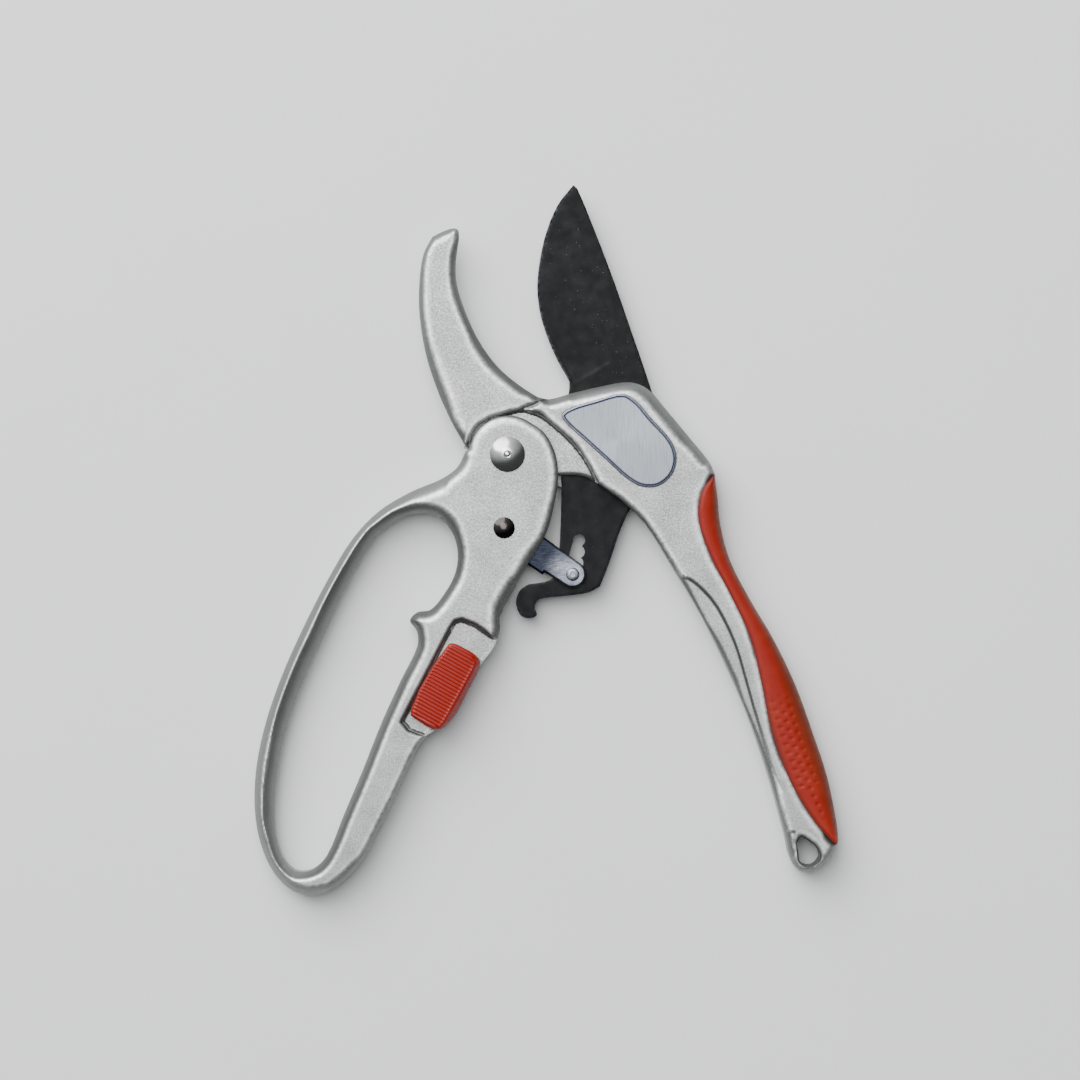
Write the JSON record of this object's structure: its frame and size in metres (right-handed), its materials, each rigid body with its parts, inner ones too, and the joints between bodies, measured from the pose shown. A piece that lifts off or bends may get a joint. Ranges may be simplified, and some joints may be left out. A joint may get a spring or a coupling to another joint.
{
  "type": "ratchet pruning shears",
  "caption": "Bypass pruning shears with ratchet linkage, cast jaw and handles, closed finger loop, sliding lock",
  "frame": {"origin": "on the main pivot's axis, in the plane that the tool's back lies on", "axes": "+X from the main pivot to the fixed handle's side, +Y along the jaws to their tips, +Z out of the front face"},
  "size_m": [0.1754, 0.2136, 0.0157],
  "materials": {
    "cast_silver": "silver metallic powder coat on die-cast aluminium",
    "red_rubber": "fine-textured overmoulded rubber",
    "label_aluminium": "brushed, clear coated, thin dark border",
    "chrome_rivet": "polished",
    "dark_rivet": "polished dark nickel",
    "zinc_steel": "bright zinc plate, slightly blue",
    "spring_steel": "drawn spring wire",
    "nylon_washer": "moulded nylon",
    "coated_blade": "matte black non-stick coating on carbon steel",
    "bronze_bush": "sintered bronze",
    "red_plastic": "moulded, ribbed"
  },
  "bodies": {
    "fixed_handle": {"fixed_handle_casting": "cast_silver", "handle_grip": "red_rubber", "label_plate": "label_aluminium", "main_pivot_rivet": "chrome_rivet", "main_pivot_collar": "zinc_steel", "pivot_washers": "nylon_washer", "opening_spring": "spring_steel", "blade_pivot_screw": "zinc_steel", "blade_pivot_nut": "zinc_steel"},
    "lever_handle": {"lever_handle_casting": "cast_silver", "link_rivet": "dark_rivet", "link_rivet_collar": "zinc_steel"},
    "blade": {"cutting_blade": "coated_blade", "blade_bush": "bronze_bush"},
    "link": {"link_channel": "zinc_steel", "pawl_pin": "dark_rivet", "link_spring": "spring_steel"},
    "lock": {"lock_button": "red_plastic", "lock_peg": "zinc_steel", "lock_retainer": "spring_steel", "lock_wave_washer": "spring_steel"}
  },
  "joints": [
    {"name": "handle_pivot", "type": "hinge", "parent": "fixed_handle", "child": "lever_handle", "pos_m": [0, 0, 0.00675], "axis": [0, 0, 1], "range_deg": [0, 45], "stiffness_Nm_per_rad": 0.25, "springref_deg": -45.84, "deforming": ["opening_spring"]},
    {"name": "blade_pivot", "type": "hinge", "parent": "fixed_handle", "child": "blade", "pos_m": [0.034, 0.005, 0.00675], "axis": [0, 0, 1], "range_deg": [0, 27.2]},
    {"name": "link_pivot", "type": "hinge", "parent": "lever_handle", "child": "link", "pos_m": [-0.001, -0.022, 0.00675], "axis": [0, 0, 1], "range_deg": [-39.2, 0], "deforming": ["link_spring"]},
    {"name": "lock_slide", "type": "slide", "parent": "lever_handle", "child": "lock", "axis": [0.4848, 0.8746, 0], "range_m": [0, 0.006]}
  ],
  "couplings": [
    {"joint": "blade_pivot", "follows": "handle_pivot", "ratio": 0.6027},
    {"joint": "link_pivot", "follows": "handle_pivot", "ratio": -0.8687}
  ]
}
